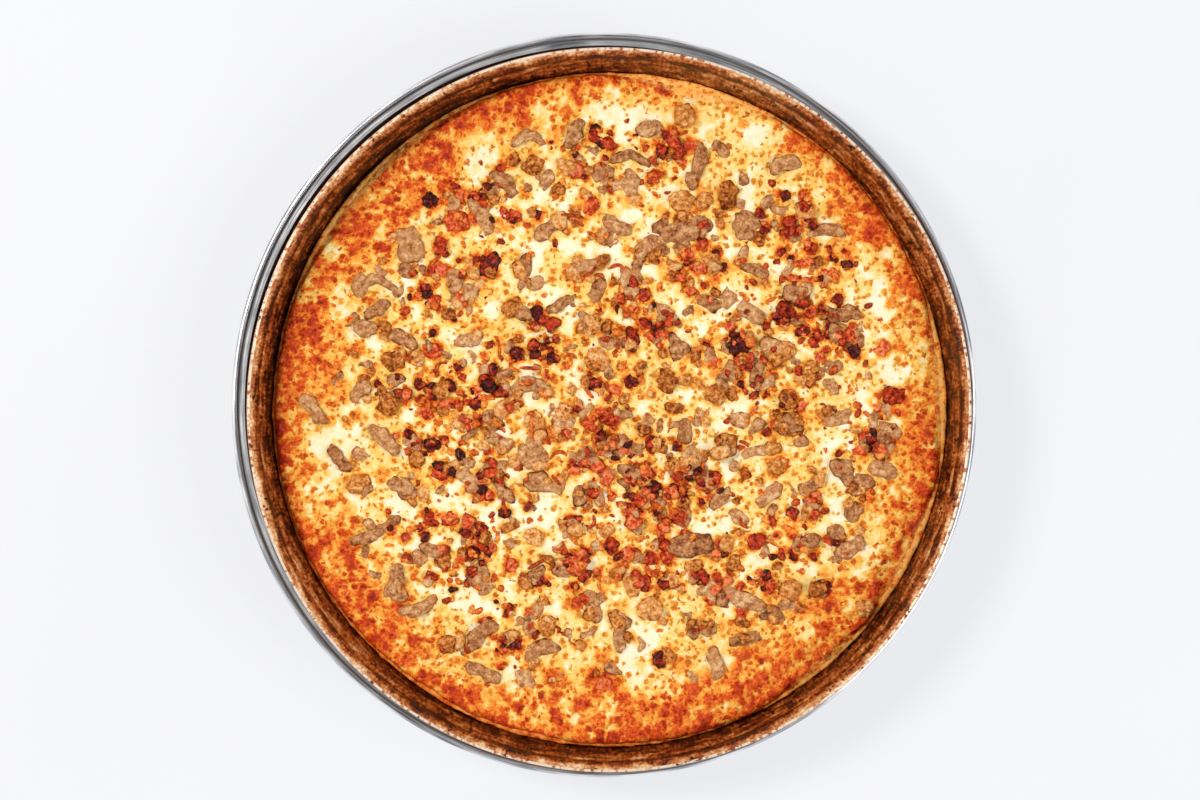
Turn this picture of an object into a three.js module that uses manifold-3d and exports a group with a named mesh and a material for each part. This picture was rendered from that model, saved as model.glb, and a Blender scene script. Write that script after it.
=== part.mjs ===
// A deep dish pizza in its tin: a dark, seasoned baking pan that stands in a slightly larger bright
// pan, a dough crust with a low lip, a layer of melted cheese, and meat toppings that lie in it.
// Millimetres, +Z up. The origin is the centre of the bright pan's underside.
import * as THREE from "three";
import { mergeVertices } from "three/addons/utils/BufferGeometryUtils.js";
import Module from "manifold-3d";

const wasm = await Module();
wasm.setup();

// ---- Driving dimensions -------------------------------------------------------------------------

const TOUCH_GAP = 0.35; // clearance between pieces that touch
const ROUND = 60; // facets round the pans, the crust and the cheese
const GOLDEN_ANGLE = THREE.MathUtils.degToRad(137.508); // spreads headings and places evenly

const OUTER_PAN = {
  gauge: 0.9,
  floorRadius: 173.5, // inside, where the wall would meet the floor
  mouthRadius: 181, // inside, at the top of the wall
  cornerRadius: 5,
  flangeHeight: 40, // top of the flat rim
  beadRadius: 1.75,
  beadCentreRadius: 186,
  beadSteps: 6, // facets round the rolled edge
};
const BAKING_PAN = {
  gauge: 1.2,
  floorRadius: 166.5,
  mouthRadius: 177,
  cornerRadius: 7,
  height: 50.2, // underside to the top of the rolled rim
  beadRadius: 2.3,
  beadSteps: 7,
};
// The baking pan stands a little off the middle of the bright pan, against its wall.
const PAN_SHIFT = new THREE.Vector3(2.6, -2.4, OUTER_PAN.gauge + TOUCH_GAP);

// Crust and cheese. Heights are over the baking pan's underside.
const DOUGH_BASE = BAKING_PAN.gauge + TOUCH_GAP;
const DOUGH_LEVEL = 16.5; // top of the dough under the cheese
const DOUGH_CHAMFER = { inset: 1.5, height: 2 }; // where the dough's side turns under
const LIP_LEVEL = 27; // crown of the crust's lip
// The lip's section, as distances in from the crust's edge and drops from the crown.
const LIP = {
  edgeDrop: 1.5,
  shoulderInset: 1.4,
  shoulderDrop: 0.3,
  crownInset: 4.6,
  backInset: 8,
  backDrop: 2,
  footInset: 14, // where the lip meets the dough's level
};
const LIP_WAVES = [
  { count: 3, height: 0.5, phase: 1 },
  { count: 7, height: 0.35, phase: 2 },
  { count: 11, height: 0.15, phase: 0 },
];
const EDGE_GAP = 0.95; // the dough has drawn in from the wall
const EDGE_WAVES = [
  { count: 1, height: 0.35, phase: 4.28 },
  { count: 5, height: 0.15, phase: 0 },
  { count: 11, height: 0.1, phase: 1 },
];
const CHEESE_LEVEL = 23.2; // middle of the pizza
const CHEESE_SKIN = 0.9; // thickness of the cheese's edge on the lip
const RIM_SWELL = 4; // how far the cheese climbs towards the lip
const RIM_SWELL_START = 30; // distances in from the crust's edge
const RIM_SWELL_END = 9;
const RIM_RINGS = [14, 20, 28]; // rings of corners inside that, in from the edge
const INNER_RINGS = 7; // and from there to the middle
const SWELL = { waves: 5, height: 0.32, shortest: 30, lengthStep: 7, phaseStep: 1.7 };
const CHEESE_EDGE = 2.1; // bare lip left outside the cheese
const CHEESE_EDGE_WIDTH = 2; // over which the cheese's edge rounds down
const BARE_WAVES = [
  { count: 7, height: 0.3, phase: 0 },
  { count: 13, height: 0.15, phase: 2 },
];
const BARE_LIP_DEPTH = 1.8; // more bare lip where the cheese has shrunk back
const BARE_LIPS = [
  // heading of each bare stretch in degrees, and its half width
  [145, 10],
  [76, 12],
  [4, 10],
  [-26, 11],
  [-104, 6],
  [-123, 9],
];

// Meat pieces that stand alone, each as x and y from the pan's axis, length, width, heading in
// degrees and bow.
const BEEF_STRIPS = [
  [-102, 85, 21, 13, 92, 0],
  [-118, 64, 19, 6, 0, -6],
  [-118, 51, 17, 6, 30, 0],
  [-124, 42, 15, 8, 0, 0],
  [-105, 37, 17, 7, -30, 0],
  [-151, 1, 20, 7, -52, 0],
  [-137, -25, 17, 7, -45, 0],
  [-115, -15, 22, 7, -45, 0],
  [-122, -64, 22, 7, 23, 2],
  [-110, -88, 21, 7, 64, 2],
  [-98, -101, 23, 7, 22, 2],
  [-64, -115, 22, 8, 37, -2],
  [-64, -134, 23, 7, -26, 0],
  [-17, 142, 20, 7, 62, -2],
  [-41, 138, 17, 7, 0, -5],
  [-53, 115, 19, 7, -50, -4],
  [21, 144, 17, 8, 15, 0],
  [45, 125, 25, 7, 72, 2],
  [11, 128, 22, 6, -8, -5],
  [36, 90, 20, 11, 0, 0],
  [4, 94, 18, 7, -25, 0],
  [70, 94, 15, 13, 60, 0],
  [91, 125, 17, 7, 10, -5],
  [112, 90, 26, 7, -8, -6],
  [120, 49, 18, 8, 0, 0],
  [140, -31, 21, 8, -15, 0],
  [-40, 11, 25, 7, 10, -7],
  [-39, -24, 17, 13, 20, 0],
  [123, -70, 18, 7, 25, 0],
  [69, -97, 25, 7, -25, 3],
  [-35, -123, 22, 8, 20, -3],
  [54, -131, 23, 7, 95, 4],
  [41, -69, 22, 12, 10, 0],
];
const SAUSAGE_CRUMBLES = [
  [-38, 125, 9, 10, 40, 0],
  [-21, 124, 11, 8, 10, 0],
  [39, 150, 13, 11, 20, 0],
  [37, 106, 13, 10, 10, 0],
  [60, 110, 14, 10, 80, 0],
  [-10, 43, 12, 11, 30, 0],
  [30, 15, 12, 11, 60, 0],
  [-38, -6, 12, 11, 0, 0],
  [89, 30, 15, 10, 0, 0],
  [92, -8, 17, 11, 0, 0],
  [60, -18, 14, 10, 90, 0],
  [92, -92, 13, 11, 60, 0],
  [20, -102, 13, 11, 80, 0],
  [-112, 3, 13, 10, 80, 0],
  [130, -101, 10, 8, -35, 0],
];
const BACON_PIECES = [
  [-78, 96, 13, 11, 20, 0],
  [-61, 74, 13, 11, 60, 0],
  [89, 49, 15, 8, 80, 0],
  [67, 33, 14, 10, 10, 0],
  [148, 7, 15, 9, -5, 0],
  [22, -18, 10, 9, 10, 0],
  [-16, -78, 12, 8, 80, 0],
  [-89, 30, 12, 8, 10, 0],
];
const BEEF_RISE = 3.4; // how far each kind stands over the cheese
const SAUSAGE_RISE = 4.6;
const BACON_RISE = 3;

// Each piece is dented by two waves that run across it.
const DENTS = [
  { height: 0.1, along: 5, across: 3, seedStep: 1 },
  { height: 0.06, along: -4, across: 9, seedStep: 2 },
];
const BOW_CENTRE = 0.35; // keeps a bowed strip's middle line over its place

// Smaller meat that is stuck in the cheese, laid along a sunflower spiral that is closer at the
// middle. Each kind takes the places up to its share.
const SMALL_MEAT = {
  places: 134,
  reach: 146,
  crowding: 0.56,
  jitter: 6,
  clearance: 0.8,
  shortest: 0.85,
  lengthSpread: 0.3,
};
const SMALL_KINDS = [
  { upTo: 0.5, length: 16, width: 7, rise: 2.4 },
  { upTo: 0.72, length: 11, width: 9, rise: 3.4 },
  { upTo: 1, length: 8.5, width: 7, rise: 2.4 },
];

const degrees = THREE.MathUtils.degToRad;
const smoothstep = THREE.MathUtils.smoothstep;

// ---- Meshes and solids --------------------------------------------------------------------------

// A closed geometry as a solid that can be joined and cut.
function solidFrom(geometry) {
  const bare = geometry.clone();
  bare.deleteAttribute("normal");
  bare.deleteAttribute("uv");
  const merged = mergeVertices(bare, 1e-3);
  const mesh = new wasm.Mesh({
    numProp: 3,
    vertProperties: new Float32Array(merged.attributes.position.array),
    triVerts: new Uint32Array(merged.index.array),
  });
  return new wasm.Manifold(mesh);
}

// The largest body of a solid, as a geometry with flat faces. Loose scraps of a cut are dropped.
function geometryFrom(solid) {
  const bodies = solid.decompose();
  bodies.sort((a, b) => b.volume() - a.volume());
  const mesh = bodies[0].getMesh();
  const indexed = new THREE.BufferGeometry();
  indexed.setAttribute("position", new THREE.BufferAttribute(mesh.vertProperties, 3));
  indexed.setIndex(new THREE.BufferAttribute(mesh.triVerts, 1));
  const geometry = indexed.toNonIndexed();
  geometry.computeVertexNormals();
  return geometry;
}

function nodeMesh(name, geometry, color, roughness, metalness) {
  const material = new THREE.MeshStandardMaterial({ color, roughness, metalness });
  const mesh = new THREE.Mesh(geometry, material);
  mesh.name = name;
  return mesh;
}

// ---- Pans ---------------------------------------------------------------------------------------

// Points of a rounded bottom corner: from the floor, through the sharp corner's pull, onto the wall.
function cornerCurve(radius, sharpRadius, floorZ, slope, steps) {
  const curve = new THREE.QuadraticBezierCurve(
    new THREE.Vector2(sharpRadius - radius, floorZ),
    new THREE.Vector2(sharpRadius, floorZ),
    new THREE.Vector2(sharpRadius + slope * radius, floorZ + radius),
  );
  return curve.getPoints(steps);
}

// Points of the section of a pan's rolled rim, anticlockwise between two angles in degrees.
function beadArc(centreRadius, centreZ, pan, from, to) {
  const [start, end] = [degrees(from), degrees(to)];
  const arc = new THREE.ArcCurve(centreRadius, centreZ, pan.beadRadius, start, end, false);
  return arc.getPoints(pan.beadSteps);
}

function latheUp(profile) {
  return new THREE.LatheGeometry(profile, ROUND).rotateX(Math.PI / 2);
}

// The bright pan: a shallow pressed tray with a flat rim that ends in a fine rolled edge.
function outerPanGeometry(pan) {
  const slope = (pan.mouthRadius - pan.floorRadius) / (pan.flangeHeight - pan.gauge);
  const flangeMiddle = pan.flangeHeight - pan.gauge / 2;
  const seam = THREE.MathUtils.radToDeg(Math.asin(pan.gauge / 2 / pan.beadRadius));
  const profile = [
    new THREE.Vector2(0, 0),
    ...cornerCurve(pan.cornerRadius, pan.floorRadius + pan.gauge, 0, slope, 1),
    new THREE.Vector2(pan.mouthRadius + pan.gauge, pan.flangeHeight - pan.gauge),
    ...beadArc(pan.beadCentreRadius, flangeMiddle, pan, seam - 180, 180 - seam),
    new THREE.Vector2(pan.mouthRadius, pan.flangeHeight),
    ...cornerCurve(pan.cornerRadius, pan.floorRadius, pan.gauge, slope, 1).reverse(),
    new THREE.Vector2(0, pan.gauge),
  ];
  return latheUp(profile);
}

// Inside radius of the baking pan's wall at a height over the pan's underside.
function bakingWallRadius(z) {
  const pan = BAKING_PAN;
  const share = (z - pan.gauge) / (pan.height - pan.beadRadius - pan.gauge);
  return pan.floorRadius + share * (pan.mouthRadius - pan.floorRadius);
}

// The baking pan: a deep flared tin whose wall rolls outwards into a thick round rim.
function bakingPanGeometry(pan) {
  const beadZ = pan.height - pan.beadRadius;
  const slope = (pan.mouthRadius - pan.floorRadius) / (beadZ - pan.gauge);
  const seam = THREE.MathUtils.radToDeg(Math.acos((pan.beadRadius - pan.gauge) / pan.beadRadius));
  const profile = [
    new THREE.Vector2(0, 0),
    ...cornerCurve(pan.cornerRadius, pan.floorRadius + pan.gauge, 0, slope, 2),
    ...beadArc(pan.mouthRadius + pan.beadRadius, beadZ, pan, seam - 180, 180),
    ...cornerCurve(pan.cornerRadius, pan.floorRadius, pan.gauge, slope, 2).reverse(),
    new THREE.Vector2(0, pan.gauge),
  ];
  return latheUp(profile);
}

// ---- Crust and cheese ---------------------------------------------------------------------------

// A lathe whose profile changes with the angle round the axis. Points are (radius, height).
function unevenLathe(profileAt) {
  const geometry = new THREE.LatheGeometry(profileAt(0), ROUND);
  const place = geometry.attributes.position;
  for (let step = 0; step <= ROUND; step++) {
    const angle = ((step % ROUND) / ROUND) * 2 * Math.PI;
    const profile = profileAt(angle);
    profile.forEach((point, index) => {
      const x = point.x * Math.cos(angle);
      const y = point.x * Math.sin(angle);
      place.setXYZ(step * profile.length + index, x, y, point.y);
    });
  }
  return geometry;
}

// The sum of waves that run whole times round the pan, at an angle.
function ripple(waves, angle) {
  return waves.reduce((sum, wave) => sum + wave.height * Math.sin(wave.count * angle + wave.phase), 0);
}

// Height of the lip's crown round the crust.
function lipCrown(angle) {
  return LIP_LEVEL + ripple(LIP_WAVES, angle);
}

// Radius of the crust's edge: the dough has drawn in from the wall by a gap that varies.
function edgeRadius(angle) {
  return bakingWallRadius(LIP_LEVEL - LIP.edgeDrop) - EDGE_GAP - ripple(EDGE_WAVES, angle);
}

// The top of the crust from its edge inwards, as (distance in from the edge, height).
function crustTop(angle) {
  const crown = lipCrown(angle);
  return [
    new THREE.Vector2(0, crown - LIP.edgeDrop),
    new THREE.Vector2(LIP.shoulderInset, crown - LIP.shoulderDrop),
    new THREE.Vector2(LIP.crownInset, crown),
    new THREE.Vector2(LIP.backInset, crown - LIP.backDrop),
    new THREE.Vector2(LIP.footInset, DOUGH_LEVEL),
  ];
}

// Height of the crust's top at a distance in from its edge.
function crustHeight(angle, distance) {
  const top = crustTop(angle);
  const next = top.findIndex((point) => point.x >= distance);
  if (next < 0) {
    return DOUGH_LEVEL;
  }
  if (next === 0) {
    return top[0].y;
  }
  const share = (distance - top[next - 1].x) / (top[next].x - top[next - 1].x);
  return top[next - 1].y + share * (top[next].y - top[next - 1].y);
}

// The dough: a thick flat base whose side stands against the baking pan's wall up to a rounded lip.
function crustProfile(angle) {
  const edge = edgeRadius(angle);
  const foot = BAKING_PAN.floorRadius - TOUCH_GAP;
  const sideZ = DOUGH_BASE + BAKING_PAN.cornerRadius;
  const top = crustTop(angle).map((point) => new THREE.Vector2(edge - point.x, point.y));
  return [
    new THREE.Vector2(0, DOUGH_BASE),
    new THREE.Vector2(foot - BAKING_PAN.cornerRadius, DOUGH_BASE),
    new THREE.Vector2(foot - DOUGH_CHAMFER.inset, DOUGH_BASE + DOUGH_CHAMFER.height),
    new THREE.Vector2(bakingWallRadius(sideZ) - 2 * TOUCH_GAP, sideZ),
    ...top,
    new THREE.Vector2(0, DOUGH_LEVEL),
  ];
}

// How far in from the crust's edge the cheese ends.
function bareLip(angle) {
  let bare = CHEESE_EDGE + ripple(BARE_WAVES, angle);
  for (const [heading, halfWidth] of BARE_LIPS) {
    const turn = angle - degrees(heading);
    const off = Math.atan2(Math.sin(turn), Math.cos(turn));
    bare += BARE_LIP_DEPTH * Math.exp(-((off / degrees(halfWidth)) ** 2));
  }
  return bare;
}

// Low swells of the cheese: plane waves whose headings step round by the golden angle.
function cheeseSwell(x, y) {
  let swell = 0;
  for (let wave = 0; wave < SWELL.waves; wave++) {
    const heading = wave * GOLDEN_ANGLE;
    const wavelength = SWELL.shortest + SWELL.lengthStep * wave;
    const along = x * Math.cos(heading) + y * Math.sin(heading);
    swell += SWELL.height * Math.sin((2 * Math.PI * along) / wavelength + SWELL.phaseStep * wave);
  }
  return swell;
}

// Height of the cheese's top at an angle and a distance in from the crust's edge.
function cheeseHeight(angle, distance) {
  const radius = edgeRadius(angle) - distance;
  const swell = cheeseSwell(radius * Math.cos(angle), radius * Math.sin(angle));
  const climb = RIM_SWELL * (1 - smoothstep(distance, RIM_SWELL_END, RIM_SWELL_START));
  const skin = CHEESE_SKIN * smoothstep(distance, 0, 2 * CHEESE_EDGE) + CHEESE_SKIN;
  return Math.max(CHEESE_LEVEL + swell + climb, crustHeight(angle, distance) + TOUCH_GAP + skin);
}

// The cheese's top from its edge on the lip in to the middle.
function cheeseTop(angle) {
  const edge = edgeRadius(angle);
  const bare = bareLip(angle);
  const rimDistances = [bare, bare + CHEESE_EDGE_WIDTH, RIM_SWELL_END, ...RIM_RINGS];
  const innerStart = edge - rimDistances[rimDistances.length - 1];
  const top = rimDistances.map(
    (distance) => new THREE.Vector2(edge - distance, cheeseHeight(angle, distance)),
  );
  for (let ring = INNER_RINGS - 1; ring > 0; ring--) {
    const radius = (innerStart * ring) / INNER_RINGS;
    top.push(new THREE.Vector2(radius, cheeseHeight(angle, edge - radius)));
  }
  return [...top, new THREE.Vector2(0, CHEESE_LEVEL + cheeseSwell(0, 0))];
}

// The melted cheese: it fills the crust up to its level and climbs over the lip's crown.
function cheeseProfile(angle) {
  const edge = edgeRadius(angle);
  const underside = [LIP.footInset, LIP.backInset, LIP.crownInset, bareLip(angle)].map(
    (distance) => new THREE.Vector2(edge - distance, crustHeight(angle, distance) + TOUCH_GAP),
  );
  return [new THREE.Vector2(0, DOUGH_LEVEL + TOUCH_GAP), ...underside, ...cheeseTop(angle)];
}

// What toppings are cut clear of: the crust and cheese together, raised by the gap.
function groundProfile(angle) {
  const edge = edgeRadius(angle);
  const lip = crustTop(angle).slice(0, 2);
  const surface = [
    ...lip.map((point) => new THREE.Vector2(edge - point.x, point.y)),
    ...cheeseTop(angle),
  ];
  return [
    new THREE.Vector2(0, 0),
    new THREE.Vector2(edge, 0),
    ...surface.map((point) => new THREE.Vector2(point.x, point.y + TOUCH_GAP)),
  ];
}

// ---- Toppings -----------------------------------------------------------------------------------

// A number from 0 to 1 that looks random and is the same on every run.
function chance(index, stream) {
  const spread = Math.sin(index * 12.9898 + stream * 78.233) * 43758.5453;
  return spread - Math.floor(spread);
}

// How far a dented ball's surface stands from its middle, at u along it and v across it.
function dentFactor(u, v, seed) {
  return DENTS.reduce(
    (factor, dent) =>
      factor + dent.height * Math.sin(dent.along * u + dent.across * v + dent.seedStep * seed),
    1,
  );
}

// Sideways offset of a bowed strip's middle line, at u from -1 to 1 along it.
function bowOffset(bow, u) {
  return bow * (u * u - BOW_CENTRE);
}

// A piece of meat at the cheese's surface: a ball drawn out along its heading, bowed and dented.
function meatGeometry(ball, meat, seed) {
  const { x, y, length, width, heading, bow, rise } = meat;
  const geometry = ball.clone();
  const place = geometry.attributes.position;
  const ground = cheeseHeight(Math.atan2(y, x), edgeRadius(Math.atan2(y, x)) - Math.hypot(x, y));
  const turn = degrees(heading);
  for (let i = 0; i < place.count; i++) {
    const u = place.getX(i);
    const v = place.getY(i);
    const w = place.getZ(i);
    const dent = dentFactor(u, v, seed);
    const along = (u * length) / 2;
    const across = ((v * width) / 2) * dent + bowOffset(bow, u);
    place.setXYZ(
      i,
      x + along * Math.cos(turn) - across * Math.sin(turn),
      y + along * Math.sin(turn) + across * Math.cos(turn),
      ground + w * rise * dent,
    );
  }
  return geometry;
}

// Distance from a point to a piece's bowed middle line.
function distanceTo(meat, x, y) {
  const turn = degrees(meat.heading);
  const half = Math.max(0, (meat.length - meat.width) / 2);
  let nearest = Infinity;
  for (let share = -1; share <= 1; share += 0.25) {
    const across = bowOffset(meat.bow, (share * half * 2) / meat.length);
    const px = meat.x + share * half * Math.cos(turn) - across * Math.sin(turn);
    const py = meat.y + share * half * Math.sin(turn) + across * Math.cos(turn);
    nearest = Math.min(nearest, Math.hypot(px - x, py - y));
  }
  return nearest;
}

// True where a small piece would come within the clearance of a piece that is already placed.
function crowded(piece, placed) {
  return placed.some((other) => {
    const room = SMALL_MEAT.clearance + other.width / 2 + piece.length / 2;
    return distanceTo(other, piece.x, piece.y) < room;
  });
}

// Places of the small meat: spiral points, jittered, without those that would crowd another piece.
function smallMeat(placed) {
  const pieces = [];
  for (let i = 0; i < SMALL_MEAT.places; i++) {
    const radius = SMALL_MEAT.reach * ((i + 0.5) / SMALL_MEAT.places) ** SMALL_MEAT.crowding;
    const kind = SMALL_KINDS.find((entry) => chance(i, 3) <= entry.upTo);
    const stretch = SMALL_MEAT.shortest + SMALL_MEAT.lengthSpread * chance(i, 4);
    const piece = {
      x: radius * Math.cos(i * GOLDEN_ANGLE) + SMALL_MEAT.jitter * (chance(i, 1) - 0.5),
      y: radius * Math.sin(i * GOLDEN_ANGLE) + SMALL_MEAT.jitter * (chance(i, 2) - 0.5),
      length: kind.length * stretch,
      width: kind.width,
      heading: 180 * chance(i, 5),
      bow: 0,
      rise: kind.rise,
    };
    if (!crowded(piece, placed) && !crowded(piece, pieces)) {
      pieces.push(piece);
    }
  }
  return pieces;
}

// ---- The object ---------------------------------------------------------------------------------

const STRIP_BALL = new THREE.SphereGeometry(1, 8, 5).rotateZ(Math.PI / 2);
const CRUMB_BALL = new THREE.SphereGeometry(1, 7, 4);
const SMALL_BALL = new THREE.IcosahedronGeometry(1, 0);

const TOPPINGS = [
  {
    name: "beef_strip",
    rows: BEEF_STRIPS,
    ball: STRIP_BALL,
    rise: BEEF_RISE,
    color: 0x8a6a4c,
    roughness: 0.7,
  },
  {
    name: "sausage_crumble",
    rows: SAUSAGE_CRUMBLES,
    ball: CRUMB_BALL,
    rise: SAUSAGE_RISE,
    color: 0xa5673a,
    roughness: 0.6,
  },
  {
    name: "bacon_piece",
    rows: BACON_PIECES,
    ball: CRUMB_BALL,
    rise: BACON_RISE,
    color: 0x8c2a1a,
    roughness: 0.45,
  },
];

function meatFromRow(row, rise) {
  const [x, y, length, width, heading, bow] = row;
  return { x, y, length, width, heading, bow, rise };
}

const pizza = new THREE.Group();
const crustSolid = solidFrom(unevenLathe(crustProfile));
const cheeseSolid = solidFrom(unevenLathe(cheeseProfile));
const ground = solidFrom(unevenLathe(groundProfile));

const placedMeat = [];
for (const { name, rows, ball, rise, color, roughness } of TOPPINGS) {
  rows.forEach((row, index) => {
    const meat = meatFromRow(row, rise);
    placedMeat.push(meat);
    const ballSolid = solidFrom(meatGeometry(ball, meat, placedMeat.length));
    const topping = ballSolid.subtract(ground);
    const label = `${name}_${String(index + 1).padStart(2, "0")}`;
    pizza.add(nodeMesh(label, geometryFrom(topping), color, roughness, 0));
  });
}

let toppedCheese = cheeseSolid;
smallMeat(placedMeat).forEach((meat, index) => {
  toppedCheese = toppedCheese.add(solidFrom(meatGeometry(SMALL_BALL, meat, index)));
});
pizza.add(nodeMesh("crust", geometryFrom(crustSolid), 0xd9a25f, 0.8, 0));
pizza.add(nodeMesh("cheese", geometryFrom(toppedCheese), 0xf1d489, 0.5, 0));

const bakingPan = new THREE.Group();
bakingPan.add(nodeMesh("baking_pan", bakingPanGeometry(BAKING_PAN), 0x5a3216, 0.45, 0.6));
bakingPan.add(pizza);
bakingPan.position.copy(PAN_SHIFT);

const deepDishPizza = new THREE.Group();
deepDishPizza.add(nodeMesh("outer_pan", outerPanGeometry(OUTER_PAN), 0xb8b9b8, 0.3, 1));
deepDishPizza.add(bakingPan);

export default deepDishPizza;
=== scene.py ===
"""A deep dish pizza in its seasoned baking pan, which stands in a slightly larger bright pan."""

import math
from functools import partial

import bpy
import numpy as np
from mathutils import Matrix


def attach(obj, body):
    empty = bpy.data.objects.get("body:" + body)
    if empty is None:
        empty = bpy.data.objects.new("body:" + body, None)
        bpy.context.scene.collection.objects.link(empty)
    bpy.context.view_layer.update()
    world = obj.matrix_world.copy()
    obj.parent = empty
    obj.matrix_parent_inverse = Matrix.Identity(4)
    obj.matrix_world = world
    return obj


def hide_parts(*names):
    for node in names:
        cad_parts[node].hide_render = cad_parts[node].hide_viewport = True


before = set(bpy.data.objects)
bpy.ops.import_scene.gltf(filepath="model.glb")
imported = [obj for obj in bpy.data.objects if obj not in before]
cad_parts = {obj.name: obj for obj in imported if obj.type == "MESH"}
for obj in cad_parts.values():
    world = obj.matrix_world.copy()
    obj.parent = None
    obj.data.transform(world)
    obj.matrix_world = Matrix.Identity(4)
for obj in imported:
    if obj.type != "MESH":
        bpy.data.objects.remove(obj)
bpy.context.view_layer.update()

# ---- Camera, light and floor ----------------------------------------------------------------------
# The pizza stands on a pale studio table and is seen from straight above. A soft box at the upper
# left lights it, and a bright room with a darker ceiling gives the metal something to mirror.

MM = 0.001
CAMERA_OFFSET = (-2.0, 2.5)  # mm, from the middle of the bright pan
CAMERA_DROP = 1400  # mm, from the lens to the baking pan's rim
RIM_TOP = 51.45
LENS, SENSOR = 84, 36

camera_data = bpy.data.cameras.new("overhead_camera")
camera_data.lens, camera_data.sensor_width = LENS, SENSOR
camera_data.clip_start, camera_data.clip_end = 0.05, 50
camera = bpy.data.objects.new("overhead_camera", camera_data)
camera.location = (CAMERA_OFFSET[0] * MM, CAMERA_OFFSET[1] * MM, (RIM_TOP + CAMERA_DROP) * MM)
bpy.context.scene.collection.objects.link(camera)
bpy.context.scene.camera = camera
bpy.context.scene.view_settings.view_transform = "Standard"


def linear(hexcode):
    """An sRGB hex colour as linear red, green, blue and alpha."""
    channels = np.array([hexcode >> 16 & 255, hexcode >> 8 & 255, hexcode & 255]) / 255
    low, high = channels / 12.92, ((channels + 0.055) / 1.055) ** 2.4
    return (*np.where(channels <= 0.04045, low, high).tolist(), 1.0)


def add_node(tree, kind, inputs=(), stops=(), **settings):
    """Adds a shader node. Settings are its own properties. Inputs, in order or by name, are values,
    sockets, or nodes whose first live output is meant. Stops are a ramp's places and hex colours."""
    node = tree.nodes.new("ShaderNode" + kind)
    for key, value in settings.items():
        setattr(node, key, value)
    for key, value in inputs.items() if isinstance(inputs, dict) else enumerate(inputs):
        if isinstance(value, bpy.types.Node):
            value = next(socket for socket in value.outputs if socket.enabled)
        if isinstance(value, bpy.types.NodeSocket):
            tree.links.new(value, node.inputs[key])
        else:
            node.inputs[key].default_value = value
    for _ in stops[2:]:
        node.color_ramp.elements.new(1)
    for number, (place, hexcode) in enumerate(stops):
        node.color_ramp.elements[number].position = place
        node.color_ramp.elements[number].color = linear(hexcode)
    return node


def add_material(name):
    """An empty node material: gives it, a function that adds a node to it, and the Object
    coordinates of what carries it."""
    material = bpy.data.materials.new(name)
    material.use_nodes = True
    material.node_tree.nodes.clear()
    add = partial(add_node, material.node_tree)
    return material, add, add("TexCoord").outputs["Object"]


def add_light(name, place, size, watts, hexcode):
    """A square soft box at a place in metres that faces the middle of the pizza."""
    data = bpy.data.lights.new(name, "AREA")
    data.shape, data.size, data.energy = "SQUARE", size, watts
    data.color = linear(hexcode)[:3]
    light = bpy.data.objects.new(name, data)
    light.location = place
    light.rotation_euler = light.location.normalized().to_track_quat("Z", "Y").to_euler()
    bpy.context.scene.collection.objects.link(light)


def add_piece(name, points, triangles, material, attributes=None):
    """A mesh object from points in mm and triangles, smooth, with numbers stored on its points."""
    mesh = bpy.data.meshes.new(name)
    mesh.vertices.add(len(points))
    mesh.vertices.foreach_set("co", (points * MM).astype(np.float32).ravel())
    mesh.loops.add(triangles.size)
    mesh.loops.foreach_set("vertex_index", triangles.astype(np.int32).ravel())
    mesh.polygons.add(len(triangles))
    mesh.polygons.foreach_set("loop_start", np.arange(0, triangles.size, 3, dtype=np.int32))
    mesh.update(calc_edges=True)
    mesh.shade_smooth()
    for key, values in (attributes or {}).items():
        layer = mesh.attributes.new(key, "FLOAT", "POINT")
        layer.data.foreach_set("value", np.asarray(values, np.float32).ravel())
    mesh.materials.append(material)
    piece = bpy.data.objects.new(name, mesh)
    bpy.context.scene.collection.objects.link(piece)
    return piece


add_light("key_soft_box", (-1.55, 0.7, 2.25), 0.8, 48, 0xFFFCF7)
add_light("fill_soft_box", (1.9, -0.7, 2.0), 1.5, 34, 0xFCFDFF)

# The room is bright from the horizon up and darker overhead.
ROOM_BRIGHT, ROOM_CEILING = 0xF7F8FA, 0x7A7C80
world = bpy.data.worlds.new("studio_room")
world.use_nodes = True
world.node_tree.nodes.clear()
bpy.context.scene.world = world
add = partial(add_node, world.node_tree)
direction = add("TexCoord").outputs["Generated"]
room = add(
    "ValToRGB", {"Fac": add("SeparateXYZ", {"Vector": direction}).outputs["Z"]},
    stops=[(0, ROOM_BRIGHT), (0.6, ROOM_BRIGHT), (0.82, ROOM_CEILING), (1, ROOM_CEILING)]
)
add("OutputWorld", {"Surface": add("Background", {"Color": room, "Strength": 0.95})})

# Table top: opal acrylic lit from below, so that shadows on it stay faint, and slightly uneven.
TABLE_HALF = 4000  # mm
board, add, coords = add_material("opal_acrylic")
mottle = add("TexNoise", {"Vector": coords, "Scale": 3, "Detail": 3})
white = add("ValToRGB", {"Fac": mottle}, stops=[(0.3, 0x7C7D7F), (0.7, 0x828385)])
opal = add("BsdfPrincipled", {
    "Base Color": white, "Roughness": 0.9, "Emission Color": linear(0xFCFCFF), "Emission Strength": 0.66
})
add("OutputMaterial", {"Surface": opal})
corners = np.array([(-1, -1, 0), (1, -1, 0), (1, 1, 0), (-1, 1, 0)]) * TABLE_HALF
table = add_piece("table_top", corners, np.array([(0, 1, 2), (0, 2, 3)]), board)

# ---- Bright pan -----------------------------------------------------------------------------------
# A shallow pan spun from bright tinned sheet steel. Its flat rim ends in a fine rolled edge. The
# spinning leaves fine scratches that run round it.

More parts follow.
